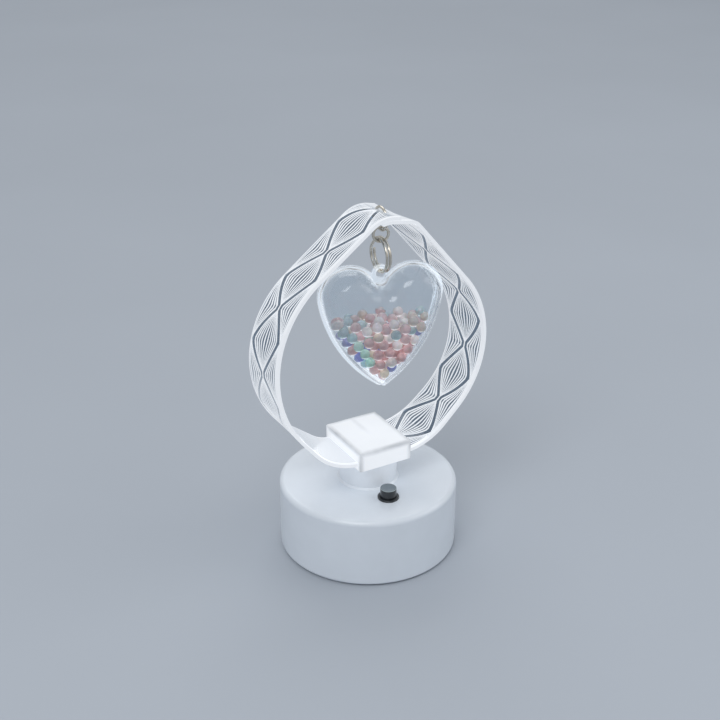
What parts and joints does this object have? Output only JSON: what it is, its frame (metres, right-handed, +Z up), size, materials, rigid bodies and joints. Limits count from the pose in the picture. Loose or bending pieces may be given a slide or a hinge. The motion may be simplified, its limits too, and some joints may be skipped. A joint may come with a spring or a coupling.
{
  "type": "table lamp",
  "caption": "Small table lamp with a round base, a glowing head, a pointed loop of clear engraved light strips and a clear heart of beads hanging in the loop.",
  "frame": {"origin": "middle of the round base, on the table", "axes": "+Z up; -Y towards the switch; the loop of light strips lies in the XZ plane and leaves the head along X"},
  "size_m": [0.1132, 0.088, 0.1747],
  "materials": {
    "white_plastic": "satin moulded",
    "glow_plastic": "milky, lit from inside",
    "clear_strip": "clear, engraved with a white line pattern",
    "clear_heart": "clear and polished",
    "black_plastic": "satin moulded",
    "nickel": "bright plated wire",
    "screw_steel": "zinc plated",
    "contact_steel": "nickel plated",
    "tag_brass": "tinned",
    "foot_rubber": "matt",
    "red_wire": "satin insulation",
    "black_wire": "satin insulation",
    "yellow_wire": "satin insulation",
    "board": "white solder mask",
    "lights": "clear resin over phosphor",
    "resistor": "matt",
    "cell_sleeve": "printed sleeve",
    "pink_bead": "pearl",
    "pearl_bead": "pearl",
    "teal_bead": "pearl",
    "blue_bead": "pearl",
    "green_bead": "pearl",
    "beige_bead": "pearl"
  },
  "bodies": {
    "lamp": {"base_shell": "white_plastic", "base_plate": "white_plastic", "battery_door": "white_plastic", "battery_door_screw": "screw_steel", "contact_plates": "contact_steel", "contact_leaves": "contact_steel", "plate_screws": "screw_steel", "rubber_feet": "foot_rubber", "switch_bezel": "black_plastic", "switch_nut": "contact_steel", "switch_body": "black_plastic", "switch_tags": "tag_brass", "neck": "white_plastic", "neck_screws": "screw_steel", "head_tray": "glow_plastic", "head_cover": "glow_plastic", "head_screws": "screw_steel", "light_board": "board", "lights": "lights", "resistors": "resistor", "left_strip": "clear_strip", "right_strip": "clear_strip", "plus_wire": "red_wire", "minus_wire": "black_wire", "switch_wire": "yellow_wire", "battery_left": "cell_sleeve", "battery_middle": "cell_sleeve", "battery_right": "cell_sleeve"},
    "button": {"switch_button": "black_plastic"},
    "top_ring": {"top_ring": "nickel"},
    "low_ring": {"low_ring": "nickel"},
    "split_ring": {"split_ring": "nickel"},
    "heart": {"heart_front": "clear_heart", "heart_back": "clear_heart", "pink_beads": "pink_bead", "pearl_beads": "pearl_bead", "teal_beads": "teal_bead", "blue_beads": "blue_bead", "green_beads": "green_bead", "beige_beads": "beige_bead"}
  },
  "joints": [
    {"name": "button_press", "type": "slide", "parent": "lamp", "child": "button", "axis": [0, 0, -1], "range_m": [0, 0.0018], "stiffness_N_per_m": 300},
    {"name": "top_ring_swing", "type": "hinge", "parent": "lamp", "child": "top_ring", "pos_m": [0.0064, 0, 0.17408], "axis": [0, 1, 0], "range_deg": [-3, 3]},
    {"name": "low_ring_swing", "type": "hinge", "parent": "top_ring", "child": "low_ring", "pos_m": [0.0064, 0, 0.16338], "axis": [0, 1, 0], "range_deg": [-3, 3]},
    {"name": "split_ring_swing", "type": "hinge", "parent": "low_ring", "child": "split_ring", "pos_m": [0.0064, 0, 0.15768], "axis": [0.9563, -0.2924, 0], "range_deg": [-15, 15]},
    {"name": "heart_swing", "type": "hinge", "parent": "split_ring", "child": "heart", "pos_m": [0.0064, 0, 0.14328], "axis": [0.0523, 0.9986, 0], "range_deg": [-5, 5]}
  ]
}
